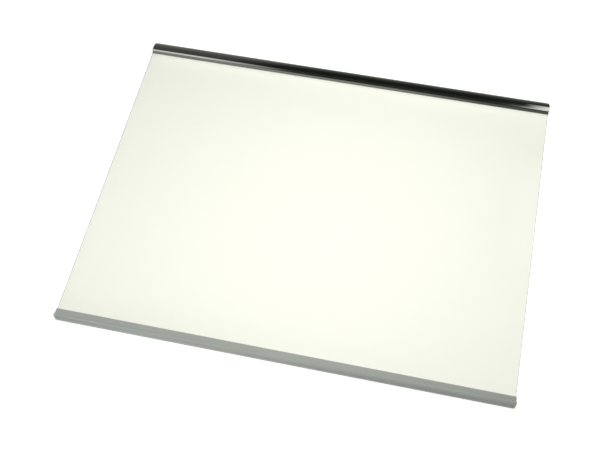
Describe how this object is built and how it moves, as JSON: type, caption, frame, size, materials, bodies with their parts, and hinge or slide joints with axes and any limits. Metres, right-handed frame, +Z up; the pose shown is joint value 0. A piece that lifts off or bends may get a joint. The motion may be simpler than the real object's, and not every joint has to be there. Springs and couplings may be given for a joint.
{
  "type": "fridge glass shelf",
  "caption": "Flat clear glass shelf for a refrigerator, with a bright chrome-finish moulded trim on the front edge and a matte grey moulded trim on the rear edge.",
  "frame": {"origin": "under the middle of the shelf, on the surface that it lies on", "axes": "+X along the trims, +Y to the front edge that faces the user, +Z up"},
  "size_m": [0.477, 0.3766, 0.007],
  "materials": {
    "glass": "clear toughened float glass with ground edges",
    "front_trim": "bright plated moulding",
    "rear_trim": "fine matte light grey moulding"
  },
  "bodies": {
    "root": {"glass_panel": "glass", "front_trim": "front_trim", "rear_trim": "rear_trim"}
  },
  "joints": []
}
